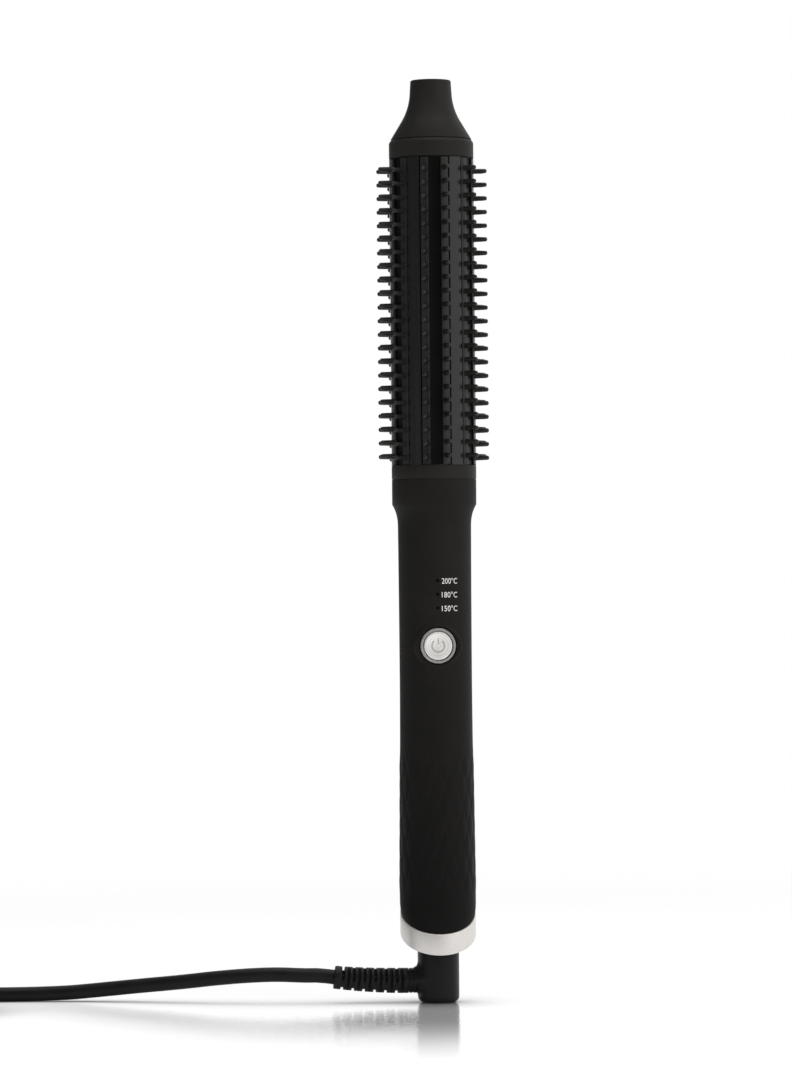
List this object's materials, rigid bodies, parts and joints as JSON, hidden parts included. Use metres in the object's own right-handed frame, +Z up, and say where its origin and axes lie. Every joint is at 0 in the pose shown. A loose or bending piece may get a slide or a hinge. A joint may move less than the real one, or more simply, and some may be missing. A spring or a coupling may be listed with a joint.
{
  "type": "hot brush",
  "caption": "Hot styling brush: comb strips along a heated barrel, cool tip, split handle with a power button, and a swivelling cord that ends in a coil and a flat plug.",
  "frame": {"origin": "centre of the swivel elbow's foot, on the surface that the brush stands on", "axes": "+Z up the brush's axis, -Y the way the power button faces, -X the way the cord leaves"},
  "size_m": [0.2911, 0.0817, 0.351],
  "materials": {
    "soft_black": "soft-touch, matte black",
    "tip_black": "fine matte moulding",
    "strip_black": "satin moulding",
    "elbow_black": "semi-gloss moulding",
    "barrel_coating": "dark glossy ceramic coating",
    "satin_metal": "satin with bright chamfers",
    "button_metal": "spun face",
    "bezel_metal": "satin",
    "bare_aluminium": "mill finish",
    "steel": "nickel plated",
    "brass": "turned",
    "spring_bronze": "rolled strip",
    "heating_ceramic": "fired ceramic",
    "mount_resin": "glass-filled resin",
    "natural_nylon": "natural moulding",
    "amber_film": "wound polyimide film",
    "sensor_resin": "dipped",
    "white_insulation": "silicone sleeve",
    "yellow_insulation": "smooth",
    "blue_insulation": "smooth",
    "brown_insulation": "smooth",
    "clear_plastic": "clear",
    "lamp_white": "lamp lenses on a strip",
    "board_green": "solder resist",
    "capacitor_yellow": "moulded box",
    "component_black": "moulded",
    "cord_black": "smooth sheath",
    "tie_fabric": "hook-and-loop strap"
  },
  "bodies": {
    "handle": {"cool_tip": "tip_black", "tip_screw": "steel", "end_cap": "tip_black", "barrel_tube": "barrel_coating", "comb_strip_1": "strip_black", "comb_strip_2": "strip_black", "comb_strip_3": "strip_black", "comb_strip_4": "strip_black", "comb_strip_5": "strip_black", "comb_strip_6": "strip_black", "base_ring": "barrel_coating", "barrel_mount": "mount_resin", "heat_spreader_front": "bare_aluminium", "heat_spreader_rear": "bare_aluminium", "insulating_sleeve": "amber_film", "electrode_front": "bare_aluminium", "electrode_rear": "bare_aluminium", "ceramic_stone_1": "heating_ceramic", "ceramic_stone_2": "heating_ceramic", "thermistor": "sensor_resin", "thermal_fuse": "bare_aluminium", "heater_lead_live": "white_insulation", "heater_lead_neutral": "white_insulation", "sensor_lead": "yellow_insulation", "handle_front_shell": "soft_black", "handle_rear_shell": "soft_black", "end_ring": "satin_metal", "end_plate": "soft_black", "button_bezel": "bezel_metal", "push_switch": "component_black", "lamp_strip": "lamp_white", "light_pipe": "clear_plastic", "circuit_board": "board_green", "capacitor": "capacitor_yellow", "triac": "component_black", "controller_chip": "component_black", "board_screw": "steel", "closing_screw_lower": "steel", "closing_screw_upper": "steel", "swivel_bush": "natural_nylon", "contact_holder": "component_black", "pin_spring": "spring_bronze", "sleeve_spring": "spring_bronze", "supply_lead_live": "blue_insulation", "supply_lead_neutral": "blue_insulation"},
    "swivel": {"swivel_elbow": "elbow_black", "retaining_clip": "steel", "contact_pin": "brass", "contact_sleeve": "brass", "elbow_cores": "brown_insulation", "strain_relief": "cord_black", "cord_run": "cord_black", "cord_coil": "cord_black", "cord_tail": "cord_black", "coil_tie_1": "tie_fabric", "coil_tie_2": "tie_fabric", "plug_body": "cord_black", "plug_pin_left": "steel", "plug_pin_right": "steel"},
    "button": {"power_button": "button_metal"}
  },
  "joints": [
    {"name": "cord_swivel", "type": "hinge", "parent": "handle", "child": "swivel", "pos_m": [0, 0, 0], "axis": [0, 0, 1], "continuous": true},
    {"name": "power_press", "type": "slide", "parent": "handle", "child": "button", "axis": [0, 1, 0], "range_m": [0, 0.0007], "stiffness_N_per_m": 800}
  ]
}
